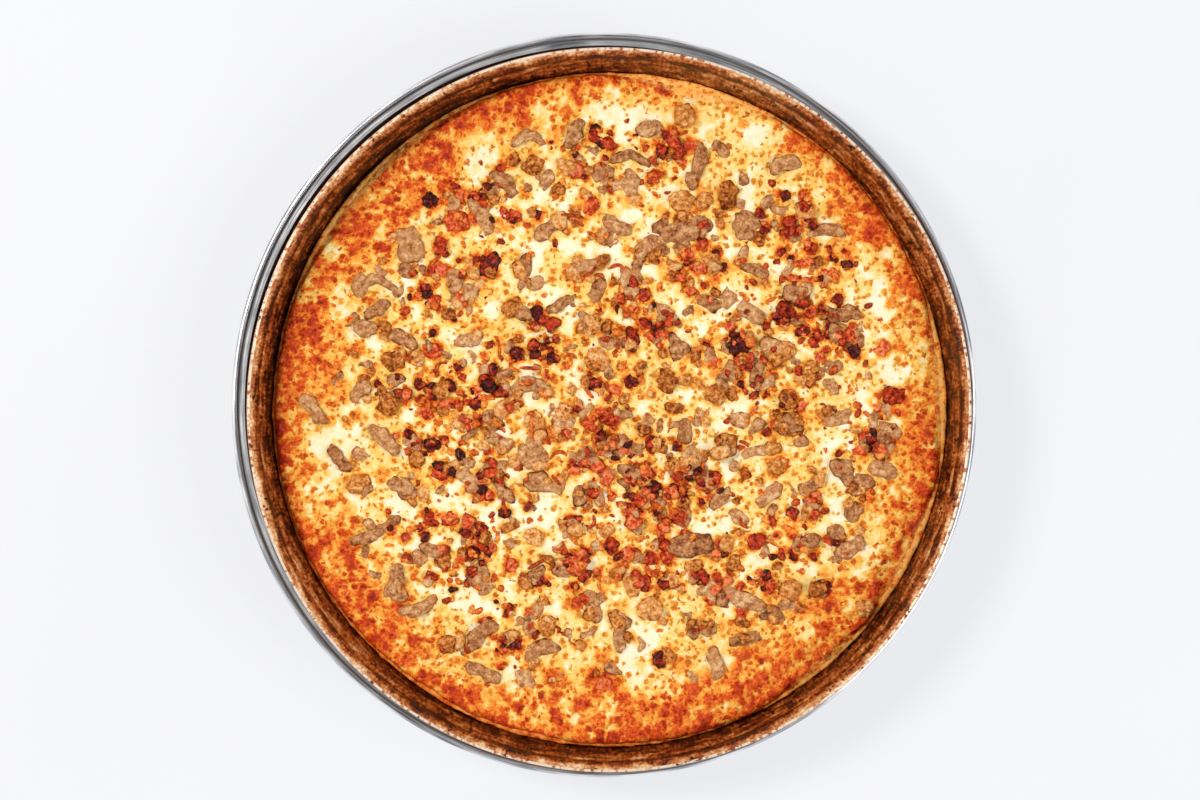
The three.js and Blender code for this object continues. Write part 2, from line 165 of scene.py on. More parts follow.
BRIGHT_GAUGE = 0.9
BRIGHT_FLOOR, BRIGHT_MOUTH = 173.5, 181.0  # inside radii
BRIGHT_CORNER = 5.0
BRIGHT_RIM = 40.0  # height of the flat rim
BRIGHT_BEAD, BRIGHT_BEAD_AT = 1.75, 186.0  # rolled edge's radius, and where its middle lies
ROUND_STEPS = 288


def corner_curve(radius, sharp, floor, slope, steps=8):
    """Section of a rounded corner: a quadratic curve from the floor to the wall, which leans out by
    slope for each unit of height, pulled towards the sharp corner."""
    t = np.linspace(0, 1, steps)[:, None]
    start, pull = np.array([sharp - radius, floor]), np.array([sharp, floor])
    end = np.array([sharp + slope * radius, floor + radius])
    return (1 - t) ** 2 * start + 2 * t * (1 - t) * pull + t**2 * end


def stacked(*columns):
    """Numbers and arrays of shapes that go together, side by side along a new last axis."""
    return np.stack(np.broadcast_arrays(*columns), axis=-1)


def arc(middle, height, radius, start, end, steps=24):
    """Section of a rolled edge: points on a circle between two angles in degrees."""
    turn = np.radians(np.linspace(start, end, steps))
    return stacked(middle + radius * np.cos(turn), height + radius * np.sin(turn))


def eased(profile, near=0.25):
    """A section with two more points on each long stretch, close to its ends, so that smooth
    shading rounds only the corners."""
    ahead = np.roll(profile, -1, axis=0)
    length = np.linalg.norm(ahead - profile, axis=1, keepdims=True)
    share = np.minimum(near / length, 0.5)
    every = np.stack([profile, profile + share * (ahead - profile), ahead - share * (ahead - profile)])
    keep = length.T > np.array([[0], [1], [1]])
    keep[1:, -1] = False
    return every.swapaxes(0, 1)[keep.T]


def lathe_rings(profile):
    """One closed surface of turning: each point (radius, height) of the profile becomes a ring."""
    turn = np.arange(ROUND_STEPS) * 2 * np.pi / ROUND_STEPS
    radius, height = profile[:, :1], profile[:, 1:]
    return stacked(radius * np.cos(turn), radius * np.sin(turn), height)[None]


def close_rings(rings):
    """Points and triangles of closed surfaces. Rings are pieces × rings × points round × xyz. Each
    ring joins the next, and a point at the middle of each end ring closes the end."""
    pieces, count, around, _ = rings.shape
    poles = rings[:, [0, -1]].mean(axis=2)
    points = np.concatenate([rings.reshape(pieces, -1, 3), poles], axis=1)
    ring, step = np.meshgrid(np.arange(count - 1), np.arange(around), indexing="ij")
    here, beside = ring * around + step, ring * around + (step + 1) % around
    walls = stacked(here, beside, beside + around, here, beside + around, here + around)
    edge, pole = np.arange(around), count * around
    ahead, rise = (edge + 1) % around, pole - around
    caps = stacked(pole, ahead, edge), stacked(pole + 1, rise + edge, rise + ahead)
    triangles = np.concatenate([walls.reshape(-1, 3), *caps])
    corner = points[0][triangles]
    volume = np.einsum("ij,ij->", corner[:, 0], np.cross(corner[:, 1], corner[:, 2]))
    if volume < 0:
        triangles = triangles[:, ::-1]
    shift = np.arange(pieces)[:, None, None] * points.shape[1]
    return points.reshape(-1, 3), (triangles[None] + shift).reshape(-1, 3)


def bright_pan_profile():
    """Underside, wall, under the flat rim, round the rolled edge, over the rim and down inside."""
    slope = (BRIGHT_MOUTH - BRIGHT_FLOOR) / (BRIGHT_RIM - BRIGHT_GAUGE)
    middle = BRIGHT_RIM - BRIGHT_GAUGE / 2
    seam = math.degrees(math.asin(BRIGHT_GAUGE / 2 / BRIGHT_BEAD))
    outside = corner_curve(BRIGHT_CORNER, BRIGHT_FLOOR + BRIGHT_GAUGE, 0, slope)
    inside = corner_curve(BRIGHT_CORNER, BRIGHT_FLOOR, BRIGHT_GAUGE, slope)[::-1]
    edge = arc(BRIGHT_BEAD_AT, middle, BRIGHT_BEAD, seam - 180, 180 - seam)
    turn_out = [(BRIGHT_MOUTH + BRIGHT_GAUGE, BRIGHT_RIM - BRIGHT_GAUGE)]
    turn_in = [(BRIGHT_MOUTH, BRIGHT_RIM)]
    return np.concatenate([outside, turn_out, edge, turn_in, inside])


def round_marks(add, coords, centre, rounds, spacing):
    """For marks that run round a pan, gives coordinates for noise (the heading as a circle of radius
    rounds, and radius + height over the spacing in mm) and the radius in metres."""
    middle = tuple(value * MM for value in centre)
    moved = add("VectorMath", (coords, middle), operation="SUBTRACT")
    flat = add("VectorMath", (moved, (1, 1, 0)), operation="MULTIPLY")
    radius = add("VectorMath", (flat,), operation="LENGTH").outputs["Value"]
    heading = add("VectorMath", (flat,), operation="NORMALIZE")
    height = add("SeparateXYZ", {"Vector": moved}).outputs["Z"]
    along = add("Math", (radius, height), operation="ADD")
    lift = add("CombineXYZ", {"Z": add("Math", (along, 1 / (spacing * MM)), operation="MULTIPLY")})
    return add("VectorMath", (heading, (rounds,) * 3, lift), operation="MULTIPLY_ADD"), radius


# Tinned sheet: a grey mirror blurred by circular scratches about 0.4 mm apart, drawn 1 mm apart so
# that they show, with dull patches. The seam beside the rolled edge is painted dark grey and less
# metallic, as painted shade in the groove.
SEAM_RADIUS = 184.3
tinned, add, coords = add_material("spun_tinned_steel")
circles, radius = round_marks(add, coords, (0, 0, 0), 5, 0.9)
scratches = add("TexNoise", {"Vector": circles, "Scale": 1, "Detail": 4})
grey = add("ValToRGB", {"Fac": scratches}, stops=[(0.34, 0x7E8184), (0.47, 0xC0C2C5), (0.6, 0xF2F2F2)])
dull = add("TexNoise", {"Vector": coords, "Scale": 60, "Detail": 3})
off_seam = add("Math", (radius, SEAM_RADIUS * MM), operation="SUBTRACT")
off_seam = add("Math", (off_seam,), operation="ABSOLUTE")
# painted shade: a dark grey, less metallic line along the seam beside the rolled edge
seam_shade = add("MapRange", (off_seam, 0.0003, 0.0011, 1, 0))
steel = add("BsdfPrincipled", {
    "Base Color": add("Mix", {"Factor": seam_shade, "A": grey, "B": linear(0x6A6C70)}, data_type="RGBA"),
    "Roughness": add("MapRange", (dull, 0.3, 0.7, 0.26, 0.42)),
    "Metallic": add("MapRange", (seam_shade, 0, 1, 1, 0.15)),
    "Normal": add("Bump", {"Height": scratches, "Strength": 0.12, "Distance": 0.0004})
})
add("OutputMaterial", {"Surface": steel})

bright_pan = add_piece("bright_pan", *close_rings(lathe_rings(eased(bright_pan_profile()))), tinned)
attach(bright_pan, "root")
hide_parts("outer_pan")

# ---- Baking pan -----------------------------------------------------------------------------------
# A deep flared tin pressed from steel sheet, its wall rolled outwards into a round rim. Years of
# baked oil have turned it brown, in streaks that run round it, and handling wears the rim bare,
# where a painted highlight makes it bright.

PAN_GAUGE = 1.2
PAN_FLOOR, PAN_MOUTH = 166.5, 177.0  # inside radii
PAN_CORNER = 7.0
PAN_HEIGHT = 50.2
PAN_BEAD = 2.3
PAN_SHIFT = np.array([2.6, -2.4, 1.25])  # it stands off the middle of the bright pan
WALL_RINGS = 40


def pan_profile():
    """Underside, wall, round the rolled rim and down inside to the floor."""
    bead_height = PAN_HEIGHT - PAN_BEAD
    slope = (PAN_MOUTH - PAN_FLOOR) / (bead_height - PAN_GAUGE)
    seam = math.degrees(math.acos((PAN_BEAD - PAN_GAUGE) / PAN_BEAD))
    outside = corner_curve(PAN_CORNER, PAN_FLOOR + PAN_GAUGE, 0, slope)
    inside = corner_curve(PAN_CORNER, PAN_FLOOR, PAN_GAUGE, slope)[::-1]
    bead = arc(PAN_MOUTH + PAN_BEAD, bead_height, PAN_BEAD, seam - 180, 180, steps=26)
    share = np.linspace(0.02, 0.98, WALL_RINGS)[:, None]
    wall = bead[-1] + share * (inside[0] - bead[-1])
    return np.concatenate([outside, bead, wall, inside])


def pan_wall(height):
    """Inside radius of the wall at a height over the pan's underside."""
    share = (height - PAN_GAUGE) / (PAN_HEIGHT - PAN_BEAD - PAN_GAUGE)
    return PAN_FLOOR + share * (PAN_MOUTH - PAN_FLOOR)


def value_noise(points, size, seed):
    """Smooth noise from 0 to 1: random numbers at the corners of cubes of a size in mm, blended by
    3t² − 2t³ between the corners."""
    place = points / size
    cell = np.floor(place)
    share = place - cell
    share = share * share * (3 - 2 * share)
    total = np.zeros(points.shape[:-1])
    for corner in np.ndindex(2, 2, 2):
        at = cell + corner
        spread = np.sin(at @ np.array([12.9898, 78.233, 37.719]) + seed * 7.31) * 43758.5453
        weight = np.prod(np.where(corner, share, 1 - share), axis=-1)
        total += weight * (spread - np.floor(spread))
    return total


def flat_noise(x, y, size, seed):
    """Smooth noise from 0 to 1 of a size in mm, the same at every height."""
    return value_noise(stacked(x, y, 0), size, seed)


def bell_at(angle, heading, half_width):
    """A bell curve round the pan: 1 at a heading and 1/e at a half width from it, in degrees."""
    turn = angle - math.radians(heading)
    turn = np.arctan2(np.sin(turn), np.cos(turn))
    return np.exp(-((turn / math.radians(half_width)) ** 2))


# How worn the oil film is at a radius in mm: 0 is charred, 1 is nearly bare. A dark line of old oil
# lies just under the rim.
FILM_WEAR = (
    (166, 0.42), (171, 0.4), (173, 0.42), (174.6, 0.5), (175.8, 0.56), (176.5, 0.26), (177.4, 0.42),
    (178.4, 0.56), (179.6, 0.67), (182, 0.6)
)
# Stretches of the lower wall painted darker as shade, such as the dark gap beside the crust: heading,
# half width in degrees, and how much darker. The painted shade fades out over the last few
# millimetres of radius before the mouth.
WALL_SHADE = ((135, 40, 0.24), (180, 25, 0.14), (-85, 32, 0.2), (-40, 20, 0.1), (-2, 22, 0.2))
WALL_SHADE_FADE = 3


def film_wear_and_shade(points):
    """Wear of the film, with painted shade: by radius, less on the wall at the headings of painted shade
    (bell curves), with noise of 24 mm and 7 mm that is drawn out up the wall."""
    x, y = points[:, :2].T
    radius, angle = np.hypot(x, y), np.arctan2(y, x)
    wear_and_shade = np.interp(radius, *np.transpose(FILM_WEAR))
    low = np.clip((PAN_MOUTH - radius) / WALL_SHADE_FADE, 0, 1)
    # painted shade: the lower wall is darker at these headings
    for heading, half_width, depth in WALL_SHADE:
        wear_and_shade -= depth * bell_at(angle, heading, half_width) * low
    spot = points * (1, 1, 0.4)
    return wear_and_shade + 0.2 * (value_noise(spot, 24, 51) - 0.5) + 0.2 * (value_noise(spot, 7, 52) - 0.5)


# Seasoned steel: baked oil in rust-brown films over dark metal, in streaks up to 12 mm long, with
# charred flecks. The rim's outer half is rubbed through, so that bare metal shows in dashes. There its
# colour is painted near white on the upper outer slope as a highlight and darker at the outer edge
# as shade.
RIM_WORN, RIM_SHEEN_SPAN = (0.1797, 0.1801), (0.1795, 0.1825)  # from radius to radius in metres
seasoned, add, coords = add_material("oil_seasoned_steel")
circles, radius = round_marks(add, coords, PAN_SHIFT, 15, 4.5)
upright = add("VectorMath", (coords, (1, 1, 0.25)), operation="MULTIPLY")
films = add("TexNoise", {"Vector": circles, "Scale": 1, "Detail": 6, "Roughness": 0.65})
stains = add("TexNoise", {"Vector": coords, "Scale": 140, "Detail": 6, "Roughness": 0.65})
flecks = add("TexNoise", {"Vector": upright, "Scale": 700, "Detail": 2})
chars = add("TexNoise", {"Vector": upright, "Scale": 260, "Detail": 3})
# the film's wear, together with the painted shade of the lower wall
film = add("Attribute", attribute_name="wear_and_shade").outputs["Fac"]
for noise, strength in ((films, 1.35), (stains, 0.95), (flecks, 0.8)):
    film = add("Math", (noise, strength, film), operation="MULTIPLY_ADD")
charred = add("MapRange", (chars, 0.64, 0.7, 1.56, 2))
film = add("Math", (film, charred), operation="SUBTRACT")
brown = add("ValToRGB", {"Fac": film}, stops=[
    (0.05, 0x1C0601), (0.22, 0x3E1203), (0.36, 0x702E08), (0.5, 0xA04C12), (0.65, 0xB87640),
    (0.82, 0xD2A476), (1, 0xE6C8A2)
])
dashes = add("TexNoise", {"Vector": circles, "Scale": 5, "Detail": 3})
outer_half = add("MapRange", (radius, *RIM_WORN))
rubbed = add("MapRange", (dashes, 0.42, 0.5))
bare = add("Math", (outer_half, rubbed), operation="MULTIPLY")
# bare metal, painted with a highlight on the rim's upper outer slope and shade at its outer edge
bare_metal_and_sheen = add(
    "ValToRGB", {"Fac": add("MapRange", (radius, *RIM_SHEEN_SPAN))},
    stops=[(0, 0xC79F74), (0.25, 0xF2DCC4), (0.55, 0xEED4BA), (0.72, 0x8A7A6E), (1, 0x6E645E)]
)
rust = add("BsdfPrincipled", {
    "Base Color": add("Mix", {"Factor": bare, "A": brown, "B": bare_metal_and_sheen}, data_type="RGBA"),
    "Roughness": add("MapRange", (bare, 0, 1, 0.42, 0.3)),
    "Metallic": add("MapRange", (bare, 0, 1, 0.05, 0.5)), "Specular IOR Level": 0.25,
    "Normal": add("Bump", {"Height": film, "Strength": 0.4, "Distance": 0.0008})
})
add("OutputMaterial", {"Surface": rust})

pan_points, pan_triangles = close_rings(lathe_rings(eased(pan_profile())))
baking_pan = add_piece(
    "seasoned_pan", pan_points + PAN_SHIFT, pan_triangles, seasoned, {"wear_and_shade": film_wear_and_shade(pan_points)}
)
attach(baking_pan, "root")
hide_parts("baking_pan")

# ---- Crust ----------------------------------------------------------------------------------------
# Wheat dough pressed into the oiled pan and up its wall. It fries golden against the steel, shrinks
# about a millimetre from the wall, and its low lip shows where the cheese has drawn back from it.

TOUCH_GAP = 0.35
DOUGH_BASE, DOUGH_LEVEL = PAN_GAUGE + TOUCH_GAP, 16.5  # heights over the pan's underside
LIP_LEVEL = 27.0  # crown of the lip
LIP_INSETS = (0, 0.5, 1.5, 4.6, 8)  # in from the crust's edge
LIP_DROPS = (1.2, 0.45, 0.1, 0, 2)  # and down from the crown
LIP_FOOT = 14.0
CRUST_STEPS = 720


def smoothstep(value, start, end):
    """0 below start, 1 above end, and 3t² − 2t³ between them."""
    t = np.clip((value - start) / (end - start), 0, 1)
    return t * t * (3 - 2 * t)


def waves(angle, *each):
    """Sum of sine waves round the pan, each a height in mm, how often it comes round and a phase."""
    return sum(height * np.sin(times * angle + phase) for height, times, phase in each)


def lip_crown(angle):
    """Height of the lip's crown: its level and three waves."""
    return LIP_LEVEL + waves(angle, (0.5, 3, 1), (0.35, 7, 2), (0.15, 11, 0))


def edge_gap(angle):
    """The crust's gap from the wall: a millimetre or so and three waves."""
    return 0.95 + waves(angle, (0.35, 1, 4.28), (0.15, 5, 0), (0.1, 11, 1))


def crust_edge(angle):
    """Radius of the crust's edge: the wall's less the gap."""
    return pan_wall(LIP_LEVEL - LIP_DROPS[0]) - edge_gap(angle)


def edge_place(x, y):
    """The angle of a place round the pan, and how far in from the crust's edge it lies."""
    angle = np.arctan2(y, x)
    return angle, crust_edge(angle) - np.hypot(x, y)


def crust_top(angle, inset):
    """Height of the crust at an inset from its edge: the lip's section, then a slope down to the
    level dough."""
    lip = lip_crown(angle) - np.interp(inset, LIP_INSETS, LIP_DROPS)
    share = np.clip((inset - LIP_INSETS[-1]) / (LIP_FOOT - LIP_INSETS[-1]), 0, 1)
    return lip + share * (DOUGH_LEVEL - lip)


# Stretches where the cheese shrank back: heading and half width in degrees.
BARE_LIPS = ((145, 10), (76, 12), (4, 10), (-26, 11), (-104, 6), (-123, 9))


def bare_lip(angle):
    """How far in the cheese ends: two waves, and a bell curve at each stretch where it shrank."""
    bare = 2.1 + waves(angle, (0.3, 7, 0), (0.15, 13, 2))
    for heading, half_width in BARE_LIPS:
        bare = bare + 1.8 * bell_at(angle, heading, half_width)
    return bare


# Pale stretches of the lip: heading, half width in degrees, and how far in they reach in mm.
# The stretch at 136° is partly painted light: real pale dough, widened where the wall shades the lip from
# the key light.
PALE_LIPS = ((75, 11, 8), (136, 20, 5), (4, 12, 6), (-26, 11, 6), (-50, 9, 5))


def pale_lip(angle, inset):
    """1 on the pale stretches of the lip, whose width is a bell curve over their half width."""
    pale = np.zeros(np.shape(angle))
    for heading, half_width, reach in PALE_LIPS:
        inner = reach * bell_at(angle, heading, half_width)
        pale = np.maximum(pale, 1 - smoothstep(inset, inner - 1.6, inner))
    return pale


def crust_rings():
    """The crust's section at each angle: foot, side and lip, with relief where the lip is bare that
    never reaches the pan's wall."""
    angle = np.arange(CRUST_STEPS) * 2 * np.pi / CRUST_STEPS
    edge, bare = crust_edge(angle), bare_lip(angle)
    foot = PAN_FLOOR - TOUCH_GAP
    side_height = DOUGH_BASE + PAN_CORNER
    side_radius = pan_wall(side_height) - 2 * TOUCH_GAP
    radii, heights = [foot - PAN_CORNER, foot - 1.5], [DOUGH_BASE, DOUGH_BASE + 2]
    lip_foot = lip_crown(angle) - LIP_DROPS[0]
    for share in np.linspace(0, 0.95, 8):
        radii.append(side_radius + share * (edge - side_radius))
        heights.append(side_height + share * (lip_foot - side_height))
    for inset in np.concatenate([np.linspace(0, 8, 26), [10, 12, LIP_FOOT]]):
        radii.append(edge - inset)
        heights.append(crust_top(angle, inset))
    radii, heights = stacked(*radii).T, stacked(*heights).T
    rings = stacked(radii * np.cos(angle), radii * np.sin(angle), heights)
    shown = 1 - smoothstep(edge - radii, 0.2, bare + 0.8)
    lumps = value_noise(rings, 5.0, 3) - 0.5 + 0.6 * (value_noise(rings, 1.9, 4) - 0.5)
    push = np.maximum(0.9 * shown * smoothstep(heights, 18, 23) * lumps, -0.1)
    outward = np.minimum(push + 0.3 * shown, edge_gap(angle) - 0.2)
    rings[..., 0] += outward * np.cos(angle)
    rings[..., 1] += outward * np.sin(angle)
    rings[..., 2] += push
    return rings[None]


# Baked dough: matt, freckled pale gold on the stretches where it rose last, and elsewhere browned by
# the oil that boils between it and the wall, with pores of about a millimetre. The pale stretch at
# 136° is widened as painted light, where the wall shades the lip.
PALE_DOUGH = ((0.32, 0xB04A14), (0.4, 0xF08E34), (0.46, 0xFFA846), (0.58, 0xFFBE64), (0.7, 0xFFD694))
FRIED_DOUGH = ((0.3, 0x6E1E06), (0.41, 0xD05416), (0.52, 0xF28430), (0.7, 0xFCB866))
dough, add, coords = add_material("oil_fried_wheat_dough")
browning = add("TexNoise", {"Vector": coords, "Scale": 330, "Detail": 6, "Roughness": 0.65})
pores = add("TexNoise", {"Vector": coords, "Scale": 900, "Detail": 3})
gold = add("ValToRGB", {"Fac": browning}, stops=PALE_DOUGH)
fried = add("ValToRGB", {"Fac": browning}, stops=FRIED_DOUGH)
paleness = add("Attribute", attribute_name="pale").outputs["Fac"]
freckles = add("MapRange", (browning, 0.38, 0.48, 0.3, 1))
freckled = add("Math", (paleness, freckles), operation="MULTIPLY")
bread = add("BsdfPrincipled", {
    "Base Color": add("Mix", {"Factor": freckled, "A": fried, "B": gold}, data_type="RGBA"),
    "Roughness": 0.5, "Specular IOR Level": 0.2,
    "Normal": add("Bump", {"Height": pores, "Strength": 0.5, "Distance": 0.0006})
})
add("OutputMaterial", {"Surface": bread})

crust_points, crust_triangles = close_rings(crust_rings())
crust_turn, crust_inset = edge_place(crust_points[:, 0], crust_points[:, 1])
crust_pale = pale_lip(crust_turn, crust_inset) * smoothstep(crust_inset, -0.8, 0.2)
crust = add_piece("dough_crust", crust_points + PAN_SHIFT, crust_triangles, dough, {"pale": crust_pale})
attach(crust, "root")
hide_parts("crust")

# ---- Where the toppings lie -----------------------------------------------------------------------
# Meat is strewn on the raw cheese and sinks into it as it melts, so each piece's place comes before
# the cheese, which stands up round it. The large pieces lie where their solids are.

CHEESE_LEVEL, CHEESE_SKIN = 23.2, 0.9
RIM_SWELL = 4.0
GOLDEN_ANGLE = math.radians(137.508)
BOW_CENTRE = 0.35


def chance(index, stream):
    """A number from 0 to 1 that looks random: the fraction of a large multiple of a sine."""
    spread = np.sin(index * 12.9898 + stream * 78.233) * 43758.5453
    return spread - np.floor(spread)


def cheese_swell(x, y):
    """Low swells of the cheese: five plane waves whose headings step round by the golden angle."""
    swell = np.zeros(np.shape(x))
    for wave in range(5):
        heading = wave * GOLDEN_ANGLE
        along = x * math.cos(heading) + y * math.sin(heading)
        swell += 0.32 * np.sin(2 * np.pi * along / (30 + 7 * wave) + 1.7 * wave)
    return swell


def cheese_top(x, y):
    """Height of the melted cheese: its level, its swells and its climb towards the lip, and never
    less than its skin over the crust."""
    angle, inset = edge_place(x, y)
    climb = RIM_SWELL * (1 - smoothstep(inset, 9, 30))
    skin = CHEESE_SKIN * smoothstep(inset, 0, 4.2) + CHEESE_SKIN
    over_crust = crust_top(angle, inset) + TOUCH_GAP + skin
    return np.maximum(CHEESE_LEVEL + cheese_swell(x, y) + climb, over_crust)


def node_points(name):
    """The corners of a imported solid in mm, from the baking pan's axis and underside."""
    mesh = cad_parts[name].data
    corners = np.empty(len(mesh.vertices) * 3, np.float32)
    mesh.vertices.foreach_get("co", corners)
    return corners.reshape(-1, 3).astype(float) / MM - PAN_SHIFT


def node_lie(name):
    """x, y, length, width, heading, bow, rise and base height of a topping's solid. Its heading is
    the main axis of its corners, and its bow is the parabola that fits them across that axis."""
    corners = node_points(name)
    spot = corners[:, :2]
    middle = spot.mean(axis=0)
    axis = np.linalg.svd(spot - middle, full_matrices=False)[2][0]
    side = np.array([-axis[1], axis[0]])
    along, across = (spot - middle) @ axis, (spot - middle) @ side
    half = np.ptp(along) / 2
    centre = along.min() + half
    u = (along - centre) / half
    bow, offset = np.polyfit(u * u, across, 1)
    width = 2 * np.abs(across - offset - bow * u * u).max()
    x, y = middle + axis * centre + side * (offset + bow * BOW_CENTRE)
    base = float(cheese_top(x, y))
    return (x, y, 2 * half, width, math.atan2(axis[1], axis[0]), bow, corners[:, 2].max() - base, base)


def lies_of(kind):
    """The names and the lies of all nodes of a kind, as rows."""
    names = sorted(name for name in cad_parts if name.startswith(kind))
    return names, np.array([node_lie(name) for name in names])


beef_nodes, beef_lies = lies_of("beef_strip")
sausage_nodes, sausage_lies = lies_of("sausage_crumble")
bacon_nodes, bacon_lies = lies_of("bacon_piece")

# Smaller meat stuck in the cheese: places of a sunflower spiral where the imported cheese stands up.
# Each kind has the chance up to which it is drawn, and a length, width and rise.
SMALL_PLACES, SMALL_REACH, SMALL_CROWDING, SMALL_JITTER = 134, 146, 0.56, 6
SMALL_KINDS = ((0.5, 16, 7, 2.4), (0.72, 11, 9, 3.4), (1, 8.5, 7, 2.4))


def small_lies():
    """Rows as node_lie gives, and each row's kind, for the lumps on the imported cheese."""
    index = np.arange(SMALL_PLACES)
    radius = SMALL_REACH * ((index + 0.5) / SMALL_PLACES) ** SMALL_CROWDING
    x = radius * np.cos(index * GOLDEN_ANGLE) + SMALL_JITTER * (chance(index, 1) - 0.5)
    y = radius * np.sin(index * GOLDEN_ANGLE) + SMALL_JITTER * (chance(index, 2) - 0.5)
    kind = np.searchsorted([row[0] for row in SMALL_KINDS], chance(index, 3))
    size = np.array(SMALL_KINDS)[kind]
    length = size[:, 1] * (0.85 + 0.3 * chance(index, 4))
    heading = np.pi * chance(index, 5)
    corners = node_points("cheese")
    proud = corners[corners[:, 2] > cheese_top(corners[:, 0], corners[:, 1]) + 1.2]
    reach = np.hypot(x[:, None] - proud[:, 0], y[:, None] - proud[:, 1])
    there = (reach < 2.5).any(axis=1)
    lies = stacked(x, y, length, size[:, 2], heading, 0, size[:, 3], cheese_top(x, y))
    return lies[there], kind[there]


small, small_kind = small_lies()
small_beef, small_sausage, small_bacon = (small[small_kind == kind] for kind in range(3))
large_meat = np.concatenate([beef_lies, sausage_lies, bacon_lies, small])

MEAT_MARGIN, FAR_OFF = 8, 12.0  # how far round a piece distances hold, and the distance beyond


def lie_field(x, y, lies):
    """Distance in mm from each point to the nearest piece's outline, negative inside it, and the
    height of what lies uppermost. Each piece is a bowed ellipse, domed as half a ball."""
    near = np.full(x.shape, FAR_OFF)
    top = cheese_top(x, y)
    for cx, cy, length, width, heading, bow, rise, base in lies:
        close = np.flatnonzero(np.hypot(x - cx, y - cy) < length / 2 + MEAT_MARGIN)
        dx, dy = x[close] - cx, y[close] - cy
        along = dx * math.cos(heading) + dy * math.sin(heading)
        across = dy * math.cos(heading) - dx * math.sin(heading)
        u = 2 * along / length
        v = 2 * (across - bow * (np.minimum(u * u, 1.5) - BOW_CENTRE)) / width
        rho = np.maximum(np.hypot(u, v), 1e-6)
        near[close] = np.minimum(near[close], (rho - 1) / rho * np.hypot(along, across))
        dome = base + rise * np.sqrt(np.clip(1 - rho * rho, 0, 1))
        top[close] = np.where(rho < 1, np.maximum(top[close], dome), top[close])
    return near, top


# Crumbs of each meat, too small to be named: most fall at the middle, and bacon falls in clusters.
draw = np.random.default_rng(41)
TOPPED_RADIUS = 148  # the rim beyond it stays free of meat
BACON_CLUSTERS = [  # places in mm
    [-61, 105], [-93, 8], [-84, -17], [-70, 2], [-91, -66], [-68, -78], [90, 92], [13, -36],
    [-5, -27], [27, -47], [134, -14], [95, -61], [29, 131], [-9, 131], [-34, 29], [41, 76],
    [97, 50], [64, 33], [-15, -79], [22, -72], [67, -87], [-53, -115], [104, 78], [-88, 60],
    [46, -36], [-58, -42], [20, 46], [-2, 2], [84, 8], [118, 36],
]


def strewn(count, reach, crowding):
    """Random places: the radius is reach times an even draw to the power crowding."""
    radius = reach * draw.random(count) ** crowding
    turn = 2 * np.pi * draw.random(count)
    return radius * np.cos(turn), radius * np.sin(turn)


def clustered(centres, each, spread):
    """Random places in a bell curve round each centre."""
    middles = np.repeat(np.array(centres, float), each, axis=0)
    places = middles + spread * draw.standard_normal(middles.shape)
    return places[:, 0], places[:, 1]


def crumb_lies(places, sizes, slim, rise, under):
    """Rows as node_lie gives: sizes are drawn between two lengths, widths are slim to slim + 0.3 of
    that, and each lies on what is under it. Most of those on the large strips are left out."""
    x, y = places
    off_strips = (lie_field(x, y, beef_lies)[0] > -0.5) | (draw.random(len(x)) < 0.2)
    keep = (np.hypot(x, y) < TOPPED_RADIUS) & off_strips
    x, y = x[keep], y[keep]
    length = sizes[0] + (sizes[1] - sizes[0]) * draw.random(len(x)) ** 1.6
    width = length * (slim + 0.3 * draw.random(len(x)))
    height = rise * np.sqrt(length / sizes[1])
    bow = length * 0.12 * draw.standard_normal(len(x))
    base = lie_field(x, y, under)[1] - 0.25 * height
    heading = np.pi * draw.random(len(x))
    return stacked(x, y, length, width, heading, bow, height, base)


beef_crumbs = crumb_lies(strewn(250, 146, 0.6), (6, 15), 0.45, 2.2, large_meat)
piled = np.concatenate([large_meat, beef_crumbs])
sausage_crumbs = crumb_lies(strewn(300, 142, 0.64), (4, 10.5), 0.6, 2.9, piled)
piled = np.concatenate([piled, sausage_crumbs])
bacon_crumbs = crumb_lies(clustered(BACON_CLUSTERS, 18, 10), (2.8, 9), 0.6, 2.7, piled)
piled = np.concatenate([piled, bacon_crumbs])
toasted_crumbs = crumb_lies(clustered(BACON_CLUSTERS, 22, 15), (2, 6), 0.5, 1.2, piled)

# ---- Cheese ---------------------------------------------------------------------------------------
# Melted mozzarella, about 6 mm deep over the dough and thin over the lip. It bubbles: blisters of 2 to
# 10 mm toast yellow, orange and dark red, most of all at the rim, and fat from the meat stains it.

CHEESE_CELLS = 300  # across the square grid that is wrapped onto the disc
BITE = 1.3  # how far in its rounded edge reaches
FRINGE = 1.8  # how much further its thin fringe runs out over the lip
TUCK = 0.5  # how far the fringe's edge is pressed into the dough


def wrapped_disc(cells):
    """Angle and share of the radius for a square grid wrapped onto a disc: each square round the
    middle becomes a circle. Also its triangles and the indices of its outer circle in order."""
    side = np.linspace(-1, 1, cells + 1)
    across, up = np.meshgrid(side, side, indexing="ij")
    wide = np.abs(across) >= np.abs(up)
    long = np.where(wide, across, up)
    short = np.where(wide, up, across)
    slope = short / np.where(long == 0, 1, long)
    angle = np.pi / 4 * np.where(wide, slope, 2 - slope) + np.where(long < 0, np.pi, 0)
    number = np.arange((cells + 1) ** 2).reshape(cells + 1, cells + 1)
    a, b, c, d = number[:-1, :-1], number[1:, :-1], number[1:, 1:], number[:-1, 1:]
    triangles = stacked(a, b, c, a, c, d).reshape(-1, 3)
    outer = [number[-1, :-1], number[:0:-1, -1], number[0, :0:-1], number[:-1, 0]]
    return angle.ravel(), np.abs(long).ravel(), triangles, np.concatenate(outer)


